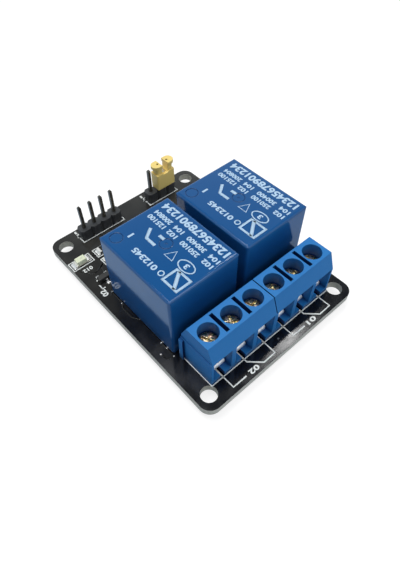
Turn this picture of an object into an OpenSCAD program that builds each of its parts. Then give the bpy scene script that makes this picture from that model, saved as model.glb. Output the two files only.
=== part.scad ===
// Two-channel relay module: a printed board that carries two sealed relays, two
// three-pole screw terminal blocks, a four-pin and a three-pin header with its
// jumper, and the surface-mounted drive parts of both channels.
// Millimetres, +Z up. X runs along the terminal row, Y from terminals to headers.
// The origin is under the middle of the board, at the tips of the trimmed leads.

/* [Board] */
// Width of the board, along the terminal row
board_w = 38.5; // [38:0.25:42]
// Length of the board, from the terminals to the headers
board_l = 50.8; // [50.4:0.2:56]
// Thickness of the board
board_t = 1.6; // [1:0.1:2.4]
// Radius of the board's corners
corner_r = 2.3; // [1:0.1:3.4]
// Bore of the mounting holes
mount_d = 3.1; // [2.6:0.1:3.2]
// From the board's side edges to the mounting holes' centres
mount_inset_x = 2.6; // [2.4:0.1:3]
// From the board's front and back edges to the mounting holes' centres
mount_inset_y = 2.9; // [2.5:0.1:3.2]
// Length of trimmed lead that stands out below the board
lead_stub = 1.8; // [1.4:0.1:2.6]
// Gap all round between a lead and its hole in the board
lead_gap = 0.15; // [0.1:0.05:0.25]
// Height of a solder joint on the underside
solder_h = 0.9; // [0.5:0.1:1.3]
// How far a solder joint spreads round its hole
solder_spread = 0.45; // [0.2:0.05:0.6]

/* [Relays] */
// Width of one relay, along the terminal row
relay_w = 15.3; // [13.6:0.1:16]
// Length of one relay, away from the terminals
relay_l = 18.9; // [17:0.1:19.4]
// Height of a relay above the board
relay_h = 15.3; // [13:0.1:18]
// Gap between the two relays
relay_gap = 1.8; // [0.5:0.1:3]
// Gap between the terminal blocks and the relays
relay_clear = 1.1; // [0.6:0.1:1.4]
// Wall of the relay case round its base plate
case_wall = 0.8; // [0.6:0.05:0.9]
// Rounding of the relay case's upper and upright edges
case_edge_r = 0.5; // [0.2:0.05:0.8]
// Thickness of the base plate in the case's mouth
base_plate_t = 1.4; // [0.8:0.1:2.4]
// Height of the base plate's feet above the board
base_foot_h = 0.3; // [0.2:0.05:0.6]
// Diameter of the ring marks moulded in the case's top
ring_mark_d = 2.5; // [1.6:0.1:3.2]
// Width of a ring mark's groove
ring_groove_w = 0.16; // [0.1:0.02:0.3]
// Depth of a ring mark's groove
ring_groove_t = 0.12; // [0.08:0.02:0.3]
// Depth to which the disc inside a groove is sunk
ring_disc_t = 0.04; // [0.02:0.01:0.06]
// Diameter of the relay's leads
relay_lead_d = 0.9; // [0.6:0.05:1.1]
// From the case's front face to the common lead
common_inset = 2.6; // [2.2:0.1:3]
// From the common lead back to the coil leads
coil_row = 2; // [1.6:0.1:2.4]
// From the case's back face to the contact leads
contact_inset = 2; // [1.8:0.1:2.6]
// From the case's side faces to the paired leads
side_inset = 1.65; // [1.5:0.05:2]

/* [Terminal blocks] */
// Distance from pole to pole
pole_pitch = 5.08; // [4.98:0.02:5.1]
// Depth of a block, from the wire side to the relays
block_depth = 7.8; // [7.6:0.1:8.4]
// Height of a block
block_h = 9.9; // [9.5:0.1:12]
// From the board's front edge to the blocks' wire side
block_setback = 3.8; // [3.8:0.1:4.6]
// Height at which the sloping front ends and the upright wire side begins
slope_foot = 6.4; // [6.1:0.1:7]
// How far the sloping front leans back
slope_run = 1.3; // [0.8:0.1:1.6]
// Height at which the back's bevel begins
bevel_foot = 7; // [6.6:0.1:8]
// How far the back's bevel leans forward
bevel_run = 1.35; // [0.8:0.05:1.5]
// Step between a block's left end above and below the slope's foot
end_step = 0.2; // [0.1:0.05:0.3]
// How far the dovetail rib stands out of a block's left end
rib_out = 0.45; // [0.3:0.05:0.6]
// Width of the dovetail rib at its face
rib_w = 0.95; // [0.8:0.05:1.2]
// Diameter of a screw well
well_d = 3.7; // [3.6:0.05:3.9]
// From the wire side to the screws' centre line
well_inset = 3.7; // [3.6:0.05:3.9]
// Width of a wire mouth and of the chamber behind it
mouth_w = 4.1; // [4:0.05:4.3]
// Depth of a wire mouth in front of its clamp cage
mouth_depth = 1.75; // [1.6:0.05:1.9]
// Thickness of the floor under a wire mouth
floor_t = 1; // [0.8:0.05:1.2]
// Width of the slot in that floor
floor_slot_w = 1; // [0.7:0.1:1.3]
// Width of the narrow slits between the wells
slit_w = 0.75; // [0.4:0.05:0.8]
// Length of those slits
slit_l = 4.3; // [3:0.1:4.6]
// Depth of those slits
slit_t = 2.6; // [1.5:0.1:3]

/* [Terminal metalwork] */
// Outer width of a clamp cage
cage_w = 3.7; // [3.4:0.05:3.9]
// Length of a clamp cage, front to back
cage_l = 3.9; // [3.8:0.05:4.1]
// How far the rolled lip of a cage's bottom plate stands forward
cage_lip = 0.3; // [0.15:0.05:0.3]
// Side wall of a clamp cage
cage_side = 0.6; // [0.4:0.05:0.7]
// Bottom and top plate of a clamp cage
cage_plate = 0.8; // [0.6:0.05:1]
// Height of the wire space in an open cage
wire_space = 2.2; // [1.9:0.05:2.4]
// Thickness of the contact strip and its leg
strip_t = 0.6; // [0.4:0.05:0.8]
// Width of the contact strip
strip_w = 2.2; // [1.8:0.05:2.3]
// Width of the leg where it goes through the board
leg_w = 1; // [0.8:0.05:1.2]
// Diameter of a clamp screw's head
head_d = 3.5; // [3.2:0.05:3.55]
// Height of a clamp screw's head
head_h = 1.2; // [1:0.05:1.6]
// Diameter of a clamp screw's thread
thread_d = 2.4; // [2:0.05:2.5]
// Width of the cross recess in a screw's head
recess_w = 0.6; // [0.4:0.05:0.8]
// Depth of the cross recess
recess_t = 0.7; // [0.4:0.05:0.9]

/* [Headers and jumper] */
// Distance from pin to pin
pin_pitch = 2.54; // [2.5:0.01:2.54]
// Side of a square pin
pin_side = 0.64; // [0.5:0.02:0.7]
// Height of the pins above the board
pin_h = 8.3; // [7:0.1:11]
// Height of a header's plastic base
header_h = 2.5; // [2:0.1:3]
// Depth of a header's plastic base
header_depth = 2.5; // [2.3:0.05:2.54]
// Chamfer between the base's pin cells
header_notch = 0.5; // [0.3:0.05:0.7]
// From the board's back edge to the input header's pins
header_setback = 3; // [2.2:0.05:3.2]
// How much nearer the relays the power header stands
power_header_step = 0.3; // [0:0.05:0.4]
// Place of the four-pin input header along the board
input_header_x = -7.8; // [-8:0.1:-7]
// Place of the three-pin power header along the board
power_header_x = 8.6; // [7.5:0.1:9]
// Width of the jumper
jumper_w = 4.8; // [4.6:0.05:5]
// Depth of the jumper
jumper_depth = 2.5; // [2.3:0.05:2.6]
// Height of the jumper
jumper_h = 6.1; // [5.8:0.1:7]
// Height of the jumper's body below its neck
jumper_body_h = 3.9; // [3.4:0.1:4.2]
// Width across the jumper's two rounded heads
jumper_head_w = 5.6; // [5:0.1:6]
// Thickness of those heads
jumper_head_t = 0.7; // [0.5:0.05:0.9]
// Width of the notch between the heads
jumper_notch_w = 1.5; // [1.2:0.05:1.6]

/* [Drive parts] */
// Transistor and diode row, as a share of the strip between relays and headers
row_transistor = 0.245; // [0.24:0.005:0.27]
// Rear resistor row, as a share of that strip
row_resistor = 0.505; // [0.5:0.005:0.53]
// Indicator row, as a share of that strip
row_indicator = 0.71; // [0.7:0.005:0.73]
// Length of the chip parts
chip_l = 3.2; // [3:0.1:3.4]
// Width of the chip parts
chip_w = 1.6; // [1.4:0.05:1.8]
// Height of a chip resistor
chip_h = 0.6; // [0.5:0.05:0.8]
// Height of an indicator with its lens
led_h = 1.2; // [1:0.05:1.6]
// Length of the transistor body
transistor_l = 2.9; // [2.8:0.05:3]
// Width of the transistor body
transistor_w = 1.35; // [1.2:0.05:1.45]
// Height of the transistor
transistor_h = 1.1; // [0.9:0.05:1.2]
// Length of the diode body
diode_l = 4.3; // [4.1:0.05:4.5]
// Width of the diode body
diode_w = 2.6; // [2.4:0.05:2.7]
// Height of the diode
diode_h = 2.2; // [1.9:0.05:2.4]
// Length of the optocoupler body, between its lead rows
opto_l = 6.5; // [6.3:0.05:6.6]
// Width of the optocoupler body, along its lead rows
opto_w = 4.6; // [4.5:0.05:4.7]
// Height of the optocoupler
opto_h = 3.6; // [3:0.05:3.8]
// How far the optocoupler's leads reach out
opto_reach = 1.65; // [1.4:0.05:1.7]

/* [Hidden] */
$fn = 40;
POLES = 3;
eps = 0.01;
LEFT = -1;
RIGHT = 1;

board_top = lead_stub + board_t;
block_w = POLES * pole_pitch;
block_front = -board_l / 2 + block_setback;
block_back = block_front + block_depth;
relay_front = block_back + relay_clear;
relay_back = relay_front + relay_l;
input_header_y = board_l / 2 - header_setback;
power_header_y = input_header_y - power_header_step;
drive_strip = power_header_y - header_depth / 2 - relay_back;

// Heights inside a terminal block, above the board
cage_inner_w = cage_w - 2 * cage_side;
strip_z = floor_t + cage_plate + wire_space;
strip_top = strip_z + strip_t;
cage_clear = 0.2;
cage_h = strip_top + cage_clear + cage_plate - floor_t;
ceiling_clear = 0.3;
ceiling_z = floor_t + cage_h + ceiling_clear;
shoulder_t = 0.4;
head_seat = ceiling_z + shoulder_t;
thread_gap = 0.15;
leg_gap = 0.1;
cage_front = well_inset - cage_l / 2;
leg_front = well_inset + cage_l / 2 + leg_gap;
chamber_depth = leg_front + strip_t + leg_gap;

// Offsets of the drive parts from their relay's centre line
led_x = -8.1;
chip_x = -2.3;
transistor_x = -6.85;
diode_x = -1.5;
opto_x = 3.7;
row_opto = 0.423;

// Leads of one relay, from its centre line and its front face
lead_x = relay_w / 2 - side_inset;
relay_leads = [
    [0, common_inset],
    [-lead_x, common_inset + coil_row],
    [lead_x, common_inset + coil_row],
    [-lead_x, relay_l - contact_inset],
    [lead_x, relay_l - contact_inset]
];

function relay_x(side) = side * (relay_w + relay_gap) / 2;
function block_x(side) = side == LEFT ? -block_w : 0;
function pole_x(side, i) = block_x(side) + (i + 0.5) * pole_pitch;
function pin_x(centre, count, i) = centre + (i - (count - 1) / 2) * pin_pitch;

// ---- shared outlines and lead shapes ----

module rounded_rect(w, l, r) {
    square([w - 2 * r, l], center = true);
    square([w, l - 2 * r], center = true);
    for (x = [-1, 1], y = [-1, 1])
        translate([x * (w / 2 - r), y * (l / 2 - r)]) circle(r);
}

// An upright outline with its two upper corners rounded, standing on the X axis
module arch_outline(w, h, r) {
    translate([-w / 2, 0]) square([w, h - r]);
    translate([-w / 2 + r, 0]) square([w - 2 * r, h]);
    for (x = [-1, 1]) translate([x * (w / 2 - r), h - r]) circle(r);
}

// Extrudes an outline drawn as (depth, height) along X, from x = 0
module along_x(length) {
    rotate([90, 0, 90]) linear_extrude(length) children();
}

// Extrudes an outline drawn as (width, height) along Y, centred on y = 0
module along_y(length) {
    translate([0, length / 2, 0]) rotate([90, 0, 0]) linear_extrude(length) children();
}

// A block with its four upper edges and four upright edges rounded
module soft_block(w, l, h, r) {
    intersection() {
        linear_extrude(h) rounded_rect(w, l, r);
        along_y(l + 2) arch_outline(w, h, r);
        translate([-w / 2 - 1, 0, 0]) along_x(w + 2) arch_outline(l, h, r);
    }
}

// A square pin with chamfered ends, from z = 0
module square_pin(side, h) {
    tip = side / 4;
    outline = [
        [-side / 2 + tip, 0], [side / 2 - tip, 0], [side / 2, 2 * tip], [side / 2, h - 2 * tip],
        [side / 2 - tip, h], [-side / 2 + tip, h], [-side / 2, h - 2 * tip], [-side / 2, 2 * tip]
    ];
    intersection() {
        along_y(side) polygon(outline);
        translate([-side / 2, 0, 0]) along_x(side) polygon(outline);
    }
}

// A gull-wing lead that leaves a body at y = 0 and height z, and runs along +Y
module gull_lead(w, t, z, reach) {
    foot = reach * 0.55;
    knee = reach * 0.2;
    translate([-w / 2, 0, 0]) along_x(w)
        polygon([
            [0, z], [knee, z], [reach - foot - t / 2, 0], [reach, 0],
            [reach, t], [reach - foot + t / 2, t], [knee + t, z + t], [0, z + t]
        ]);
}

// A solder joint under the board round a lead of which the outline is given
module solder_joint(lead_r) {
    top_r = lead_r + lead_gap + solder_spread;
    tip_r = lead_r + solder_spread / 4;
    translate([0, 0, lead_stub - solder_h]) difference() {
        cylinder(h = solder_h, r1 = tip_r, r2 = top_r);
        translate([0, 0, -eps]) linear_extrude(solder_h + 2 * eps) children();
    }
}

// ---- board ----

module at_relay_leads(side) {
    for (p = relay_leads) translate([relay_x(side) + p[0], relay_front + p[1], 0]) children();
}

module at_legs(side) {
    for (i = [0 : POLES - 1])
        translate([pole_x(side, i), block_front + leg_front + strip_t / 2, 0]) children();
}

module at_input_pins() {
    for (i = [0 : 3]) translate([pin_x(input_header_x, 4, i), input_header_y, 0]) children();
}

module at_power_pins() {
    for (i = [0 : 2]) translate([pin_x(power_header_x, 3, i), power_header_y, 0]) children();
}

module lead_hole(d) {
    cylinder(h = board_t + 2 * eps, d = d + 2 * lead_gap);
}

module circuit_board() {
    color("#1c1f22") translate([0, 0, lead_stub]) difference() {
        linear_extrude(board_t) rounded_rect(board_w, board_l, corner_r);
        translate([0, 0, -eps]) {
            for (x = [-1, 1], y = [-1, 1])
                translate([x * (board_w / 2 - mount_inset_x), y * (board_l / 2 - mount_inset_y), 0])
                    cylinder(h = board_t + 2 * eps, d = mount_d);
            for (side = [LEFT, RIGHT]) {
                at_relay_leads(side) lead_hole(relay_lead_d);
                at_legs(side) lead_hole(norm([leg_w, strip_t]));
            }
            at_input_pins() lead_hole(norm([pin_side, pin_side]));
            at_power_pins() lead_hole(norm([pin_side, pin_side]));
        }
    }
}

// ---- relays ----

module at_relay(side) {
    translate([relay_x(side), relay_front + relay_l / 2, board_top]) children();
}

// A shallow disc with a deeper groove round it, as an ejector pin leaves
module ring_mark(x, y) {
    translate([x, y, relay_h - ring_groove_t]) difference() {
        cylinder(h = ring_groove_t + eps, d = ring_mark_d);
        translate([0, 0, -eps])
            cylinder(h = ring_groove_t - ring_disc_t + eps, d = ring_mark_d - 2 * ring_groove_w);
    }
}

module relay_case(side) {
    corner_mark = 2.2;
    centre_mark = 0.5;
    gate_d = 0.5;
    color("#24609c") at_relay(side) difference() {
        translate([0, 0, base_foot_h])
            soft_block(relay_w, relay_l, relay_h - base_foot_h, case_edge_r);
        translate([0, 0, base_foot_h - eps]) linear_extrude(base_plate_t + eps)
            square([relay_w - 2 * case_wall, relay_l - 2 * case_wall], center = true);
        ring_mark(corner_mark - relay_w / 2, relay_l / 2 - corner_mark);
        ring_mark(0, centre_mark);
        translate([0, centre_mark, relay_h - ring_groove_t])
            cylinder(h = ring_groove_t + eps, d = gate_d);
    }
}

module relay_base(side) {
    foot_d = 1.4;
    foot_x = relay_w / 2 - case_wall - foot_d;
    foot_y = relay_l / 6;
    color("#1d3f66") difference() {
        at_relay(side) union() {
            translate([0, 0, base_foot_h]) linear_extrude(base_plate_t)
                square([relay_w - 2 * case_wall, relay_l - 2 * case_wall], center = true);
            for (x = [-1, 1], y = [-1, 1])
                translate([x * foot_x, y * foot_y, 0]) cylinder(h = base_foot_h + eps, d = foot_d);
        }
        at_relay_leads(side) translate([0, 0, board_top + base_foot_h - eps])
            cylinder(h = base_plate_t + 2 * eps, d = relay_lead_d);
    }
}

module relay_lead_set(side) {
    color("#c9c9c6") at_relay_leads(side)
        cylinder(h = board_top + base_foot_h + base_plate_t, d = relay_lead_d);
}

module relay_solder(side) {
    color("#d5d6d4") at_relay_leads(side)
        solder_joint(relay_lead_d / 2) circle(d = relay_lead_d);
}

// ---- terminal blocks ----

module at_block(side) {
    translate([block_x(side), block_front, board_top]) children();
}

module at_poles() {
    for (i = [0 : POLES - 1]) translate([(i + 0.5) * pole_pitch, 0, 0]) children();
}

module block_outline() {
    polygon([
        [0, 0], [0, slope_foot], [slope_run, block_h], [block_depth - bevel_run, block_h],
        [block_depth, bevel_foot], [block_depth, 0]
    ]);
}

// The dovetail that keys one block to the next, standing out along -X
module dovetail(grow) {
    rib_h = slope_foot - 0.4;
    root = rib_w * 0.7;
    linear_extrude(rib_h + grow) polygon([
        [eps, block_depth - root - grow], [-rib_out - grow, block_depth - rib_w - grow],
        [-rib_out - grow, block_depth + eps], [eps, block_depth + eps]
    ]);
}

module pole_cuts() {
    // wire mouth, and the lower chamber behind it
    translate([-mouth_w / 2, -eps, floor_t])
        cube([mouth_w, mouth_depth + eps, slope_foot - floor_t]);
    translate([-mouth_w / 2, -eps, floor_t])
        cube([mouth_w, chamber_depth + eps, ceiling_z - floor_t]);
    // slot in the floor of the mouth
    translate([-floor_slot_w / 2, -eps, -eps])
        cube([floor_slot_w, mouth_depth + eps, floor_t + 2 * eps]);
    // screw well, and the smaller hole below the screw's head
    translate([0, well_inset, head_seat]) cylinder(h = block_h, d = well_d);
    translate([0, well_inset, ceiling_z - eps])
        cylinder(h = shoulder_t + 2 * eps, d = thread_d + 2 * thread_gap);
    // slot for the leg
    translate([-leg_w / 2 - leg_gap, leg_front - leg_gap, -eps])
        cube([leg_w + 2 * leg_gap, strip_t + 2 * leg_gap, floor_t + 2 * eps]);
}

module terminal_housing(side) {
    top_mid = (slope_run + block_depth - bevel_run) / 2;
    key_gap = 0.03;
    color("#3b78c0") at_block(side) difference() {
        union() {
            along_x(block_w) block_outline();
            dovetail(0);
        }
        at_poles() pole_cuts();
        // groove that takes the next block's dovetail
        translate([block_w, 0, -eps]) dovetail(key_gap);
        // the end above the slope's foot is set back
        translate([-eps, -eps, slope_foot]) cube([end_step + eps, block_depth + 1, block_h]);
        for (i = [1 : POLES - 1])
            translate([i * pole_pitch - slit_w / 2, top_mid - slit_l / 2, block_h - slit_t])
                cube([slit_w, slit_l, slit_t + eps]);
    }
}

// The bottom plate's front edge, rolled over so that it doesn't cut the wire
module lip_outline() {
    square([2 * cage_lip, cage_plate - cage_lip]);
    translate([cage_lip, 0]) square([cage_lip, cage_plate]);
    translate([cage_lip, cage_plate - cage_lip]) circle(cage_lip);
}

module terminal_cages(side) {
    color("#cfd2d3") at_block(side) at_poles() {
        difference() {
            translate([-cage_w / 2, cage_front, floor_t]) cube([cage_w, cage_l, cage_h]);
            translate([-cage_inner_w / 2, cage_front - eps, floor_t + cage_plate])
                cube([cage_inner_w, cage_l + 2 * eps, cage_h - 2 * cage_plate]);
            translate([0, well_inset, floor_t + cage_h - cage_plate - eps])
                cylinder(h = cage_plate + 2 * eps, d = thread_d);
        }
        translate([-cage_w / 2, cage_front - cage_lip, floor_t]) along_x(cage_w) lip_outline();
    }
}

// Contact strips that lie in the cages, each with its leg bent down through the board
module terminal_strips(side) {
    strip_front = cage_front + 0.2;
    color("#c6c8c4") at_block(side) at_poles() {
        translate([-strip_w / 2, strip_front, strip_z])
            cube([strip_w, leg_front + strip_t - strip_front, strip_t]);
        translate([-strip_w / 2, leg_front, floor_t]) cube([strip_w, strip_t, strip_z - floor_t + eps]);
        translate([-leg_w / 2, leg_front, -board_top]) cube([leg_w, strip_t, board_top + floor_t + eps]);
    }
}

module terminal_screws(side) {
    color("#c9b163") at_block(side) at_poles() translate([0, well_inset, 0]) difference() {
        union() {
            translate([0, 0, head_seat]) cylinder(h = head_h, d = head_d);
            translate([0, 0, strip_top]) cylinder(h = head_seat - strip_top + eps, d = thread_d);
        }
        for (turn = [0, 90])
            translate([0, 0, head_seat + head_h - recess_t / 2 + eps]) rotate(turn)
                cube([head_d * 0.78, recess_w, recess_t], center = true);
    }
}

module terminal_solder(side) {
    color("#d5d6d4") at_legs(side)
        solder_joint(norm([leg_w, strip_t]) / 2) square([leg_w, strip_t], center = true);
}

// ---- headers and jumper ----

// One cell of a header's base: a square with its four corners cut
module header_cell() {
    x = (pin_pitch + eps) / 2;
    y = header_depth / 2;
    n = header_notch;
    polygon([
        [-x, -y + n], [-x + n, -y], [x - n, -y], [x, -y + n],
        [x, y - n], [x - n, y], [-x + n, y], [-x, y - n]
    ]);
}

module base_cell() {
    color("#1b1b1d") translate([0, 0, board_top]) linear_extrude(header_h) difference() {
        header_cell();
        square(pin_side, center = true);
    }
}

module header_pin() {
    color("#8d8a80") square_pin(pin_side, board_top + pin_h);
}

module header_solder() {
    lead_r = norm([pin_side, pin_side]) / 2;
    color("#d5d6d4") {
        at_input_pins() solder_joint(lead_r) square(pin_side, center = true);
        at_power_pins() solder_joint(lead_r) square(pin_side, center = true);
    }
}

// The jumper joins the power header's second and third pins
module at_jumper() {
    middle = (pin_x(power_header_x, 3, 1) + pin_x(power_header_x, 3, 2)) / 2;
    translate([middle, power_header_y, board_top + header_h]) children();
}

contact_t = 0.25;
contact_h = 3.4;
saddle_dip = 0.3;
jumper_room_w = pin_pitch + pin_side + 0.3;
jumper_room_depth = pin_side + 2 * contact_t + 0.1;
jumper_room_h = contact_h + 0.4;

// The slot between the heads, with a round bottom that lets the contact show
module jumper_notch() {
    r = jumper_notch_w / 2;
    translate([0, 0, jumper_body_h - saddle_dip + 0.05 + r]) {
        along_y(jumper_depth + 2) circle(r);
        translate([-r, -jumper_depth, 0]) cube([2 * r, 2 * jumper_depth, jumper_h]);
    }
}

module jumper_shell() {
    neck_w = jumper_w - 0.5;
    neck_depth = jumper_depth - 0.6;
    head_depth = jumper_depth - 0.1;
    saddle_r = 1.3;
    pin_room = pin_side + 0.1;
    probe_d = 0.5;
    color("#d9b45a") at_jumper() difference() {
        union() {
            // body, with a shallow saddle in its upper edge
            difference() {
                linear_extrude(jumper_body_h) rounded_rect(jumper_w, jumper_depth, 0.25);
                translate([0, 0, jumper_body_h - saddle_dip + saddle_r])
                    along_y(jumper_depth + 2) circle(saddle_r);
            }
            // neck, and the heads that overhang it
            translate([0, 0, jumper_body_h - saddle_dip - eps])
                linear_extrude(jumper_h - jumper_body_h + saddle_dip)
                    rounded_rect(neck_w, neck_depth, 0.4);
            translate([0, 0, jumper_h - jumper_head_t]) linear_extrude(jumper_head_t)
                rounded_rect(jumper_head_w, head_depth, head_depth / 2 - 0.05);
        }
        jumper_notch();
        // room for the contact, for the pins and for a test probe
        translate([0, 0, -eps]) linear_extrude(jumper_room_h + eps)
            square([jumper_room_w, jumper_room_depth], center = true);
        for (x = [-1, 1]) translate([x * pin_pitch / 2, 0, -eps]) {
            linear_extrude(pin_h - header_h + 0.1 + eps) square(pin_room, center = true);
            cylinder(h = jumper_h + 1, d = probe_d);
        }
    }
}

// A folded strip: springs on each pin's front and back, joined by a bridge over the middle
module jumper_contact() {
    foot = 0.3;
    bridge_h = 0.8;
    web_w = 1.1;
    web_depth = pin_side + 2 * contact_t;
    color("#cfcfc8") at_jumper() translate([0, 0, foot]) {
        for (y = [-1, 1]) translate([0, y * (pin_side + contact_t) / 2 - contact_t / 2, 0]) {
            for (x = [-1, 1]) translate([x * pin_pitch / 2 - pin_side / 2, 0, 0])
                cube([pin_side, contact_t, contact_h]);
            translate([-pin_pitch / 2, 0, contact_h - bridge_h]) cube([pin_pitch, contact_t, bridge_h]);
        }
        translate([-web_w / 2, -web_depth / 2, contact_h - contact_t])
            cube([web_w, web_depth, contact_t]);
    }
}

// ---- drive parts of one channel ----

// Places a part beside its relay's centre line, in a row given as a share of the strip
module at_drive(side, x, row) {
    translate([relay_x(side) + x, relay_back + row * drive_strip, board_top]) children();
}

led_base_h = 0.5;
end_l = 0.55;
end_wall = 0.06;

module at_led(side) {
    at_drive(side, led_x, row_indicator) children();
}

// Metal end caps that wrap the ends of a block of the given height
module end_caps(h) {
    for (x = [-1, 1]) translate([x * (chip_l - end_l) / 2, 0, h / 2]) difference() {
        cube([end_l, chip_w, h], center = true);
        translate([-x * end_wall, 0, 0]) cube([end_l + eps, chip_w + 1, h - 2 * end_wall], center = true);
    }
}

// The block that the end caps wrap
module capped_block(h) {
    translate([0, 0, h / 2])
        cube([chip_l - 2 * end_wall, chip_w, h - 2 * end_wall], center = true);
}

module led_base(side) {
    color("#e9e4cf") at_led(side) capped_block(led_base_h);
}

module led_ends(side) {
    color("#d6d7d5") at_led(side) end_caps(led_base_h);
}

module led_lens(side) {
    lens_l = chip_l - 2 * end_l;
    color("#e6efdc") at_led(side) translate([0, 0, led_base_h - end_wall]) along_x_mid(lens_l)
        lens_outline();
}

module along_x_mid(length) {
    translate([-length / 2, 0, 0]) along_x(length) children();
}

module lens_outline() {
    h = led_h - led_base_h + end_wall;
    draft = 0.12;
    polygon([
        [-chip_w / 2, 0], [chip_w / 2, 0], [chip_w / 2 - draft, h], [-chip_w / 2 + draft, h]
    ]);
}

module chip_body(side, x, row) {
    color("#23262a") at_drive(side, x, row) capped_block(chip_h);
}

module chip_ends(side, x, row) {
    color("#d6d7d5") at_drive(side, x, row) end_caps(chip_h);
}

transistor_stand = 0.1;
transistor_lead_z = 0.45;
transistor_lead_t = 0.12;

module at_transistor(side) {
    at_drive(side, transistor_x, row_transistor) children();
}

module transistor_body(side) {
    draft = 0.1;
    half = transistor_w / 2;
    top = transistor_h;
    mid = transistor_lead_z + transistor_lead_t;
    color("#202224") at_transistor(side) along_x_mid(transistor_l) polygon([
        [-half + draft, transistor_stand], [half - draft, transistor_stand],
        [half, transistor_lead_z], [half, mid], [half - draft, top],
        [-half + draft, top], [-half, mid], [-half, transistor_lead_z]
    ]);
}

module transistor_lead_set(side) {
    lead_w = 0.42;
    lead_pitch = 0.95;
    reach = 0.55;
    color("#d6d7d5") at_transistor(side) {
        for (x = [-1, 1]) translate([x * lead_pitch, transistor_w / 2, 0])
            gull_lead(lead_w, transistor_lead_t, transistor_lead_z, reach);
        rotate(180) translate([0, transistor_w / 2, 0])
            gull_lead(lead_w, transistor_lead_t, transistor_lead_z, reach);
    }
}

diode_lead_t = 0.2;
diode_lead_h = 1.1;

module at_diode(side) {
    at_drive(side, diode_x, row_transistor) children();
}

module diode_body(side) {
    draft = 0.15;
    half = diode_l / 2;
    color("#1f2123") at_diode(side) along_y(diode_w) polygon([
        [-half, diode_lead_t], [half, diode_lead_t], [half, diode_lead_h],
        [half - draft, diode_h], [-half + draft, diode_h], [-half, diode_lead_h]
    ]);
}

module diode_lead_set(side) {
    lead_w = 1.5;
    foot = 1;
    color("#d6d7d5") at_diode(side) for (x = [-1, 1]) mirror([x < 0 ? 1 : 0, 0, 0]) {
        translate([diode_l / 2 - foot, -lead_w / 2, 0]) cube([foot + diode_lead_t, lead_w, diode_lead_t]);
        translate([diode_l / 2, -lead_w / 2, 0]) cube([diode_lead_t, lead_w, diode_lead_h]);
    }
}

opto_stand = 0.2;
opto_lead_z = 1.9;
opto_lead_t = 0.25;

module at_opto(side) {
    at_drive(side, opto_x, row_opto) children();
}

module optocoupler_body(side) {
    draft = 0.25;
    half = opto_l / 2;
    mid = opto_lead_z + opto_lead_t;
    color("#e9e9e4") at_opto(side) difference() {
        along_x_mid(opto_w) polygon([
            [-half + draft, opto_stand], [half - draft, opto_stand],
            [half, opto_lead_z], [half, mid], [half - draft, opto_h],
            [-half + draft, opto_h], [-half, mid], [-half, opto_lead_z]
        ]);
        // dimple that marks the first lead
        translate([-opto_w / 2 + 0.9, -half + 1.1, opto_h - 0.15]) cylinder(h = 1, d = 0.8);
    }
}

module optocoupler_lead_set(side) {
    lead_w = 1.1;
    color("#d6d7d5") at_opto(side) for (x = [-1, 1], turn = [0, 180])
        rotate(turn) translate([x * pin_pitch / 2, opto_l / 2, 0])
            gull_lead(lead_w, opto_lead_t, opto_lead_z, opto_reach);
}

circuit_board();
relay_case(LEFT);  // relay_case_left
relay_case(RIGHT);  // relay_case_right
relay_base(LEFT);  // relay_base_left
relay_base(RIGHT);  // relay_base_right
relay_lead_set(LEFT);  // relay_leads_left
relay_lead_set(RIGHT);  // relay_leads_right
terminal_housing(LEFT);  // terminal_housing_left
terminal_housing(RIGHT);  // terminal_housing_right
terminal_cages(LEFT);  // terminal_cages_left
terminal_cages(RIGHT);  // terminal_cages_right
terminal_strips(LEFT);  // terminal_strips_left
terminal_strips(RIGHT);  // terminal_strips_right
terminal_screws(LEFT);  // terminal_screws_left
terminal_screws(RIGHT);  // terminal_screws_right
at_input_pins() base_cell();  // input_header_base
at_input_pins() header_pin();  // input_header_pins
at_power_pins() base_cell();  // power_header_base
at_power_pins() header_pin();  // power_header_pins
jumper_shell();
jumper_contact();
led_base(LEFT);  // led_base_left
led_base(RIGHT);  // led_base_right
led_lens(LEFT);  // led_lens_left
led_lens(RIGHT);  // led_lens_right
led_ends(LEFT);  // led_ends_left
led_ends(RIGHT);  // led_ends_right
chip_body(LEFT, chip_x, row_indicator);  // led_resistor_left
chip_body(RIGHT, chip_x, row_indicator);  // led_resistor_right
chip_ends(LEFT, chip_x, row_indicator);  // led_resistor_ends_left
chip_ends(RIGHT, chip_x, row_indicator);  // led_resistor_ends_right
chip_body(LEFT, chip_x, row_resistor);  // drive_resistor_left
chip_body(RIGHT, chip_x, row_resistor);  // drive_resistor_right
chip_ends(LEFT, chip_x, row_resistor);  // drive_resistor_ends_left
chip_ends(RIGHT, chip_x, row_resistor);  // drive_resistor_ends_right
transistor_body(LEFT);  // transistor_body_left
transistor_body(RIGHT);  // transistor_body_right
transistor_lead_set(LEFT);  // transistor_leads_left
transistor_lead_set(RIGHT);  // transistor_leads_right
diode_body(LEFT);  // diode_body_left
diode_body(RIGHT);  // diode_body_right
diode_lead_set(LEFT);  // diode_leads_left
diode_lead_set(RIGHT);  // diode_leads_right
optocoupler_body(LEFT);  // optocoupler_body_left
optocoupler_body(RIGHT);  // optocoupler_body_right
optocoupler_lead_set(LEFT);  // optocoupler_leads_left
optocoupler_lead_set(RIGHT);  // optocoupler_leads_right
relay_solder(LEFT);  // relay_solder_left
relay_solder(RIGHT);  // relay_solder_right
terminal_solder(LEFT);  // terminal_solder_left
terminal_solder(RIGHT);  // terminal_solder_right
header_solder();
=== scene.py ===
import math

import bmesh
import bpy
from mathutils import Matrix, Vector


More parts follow.
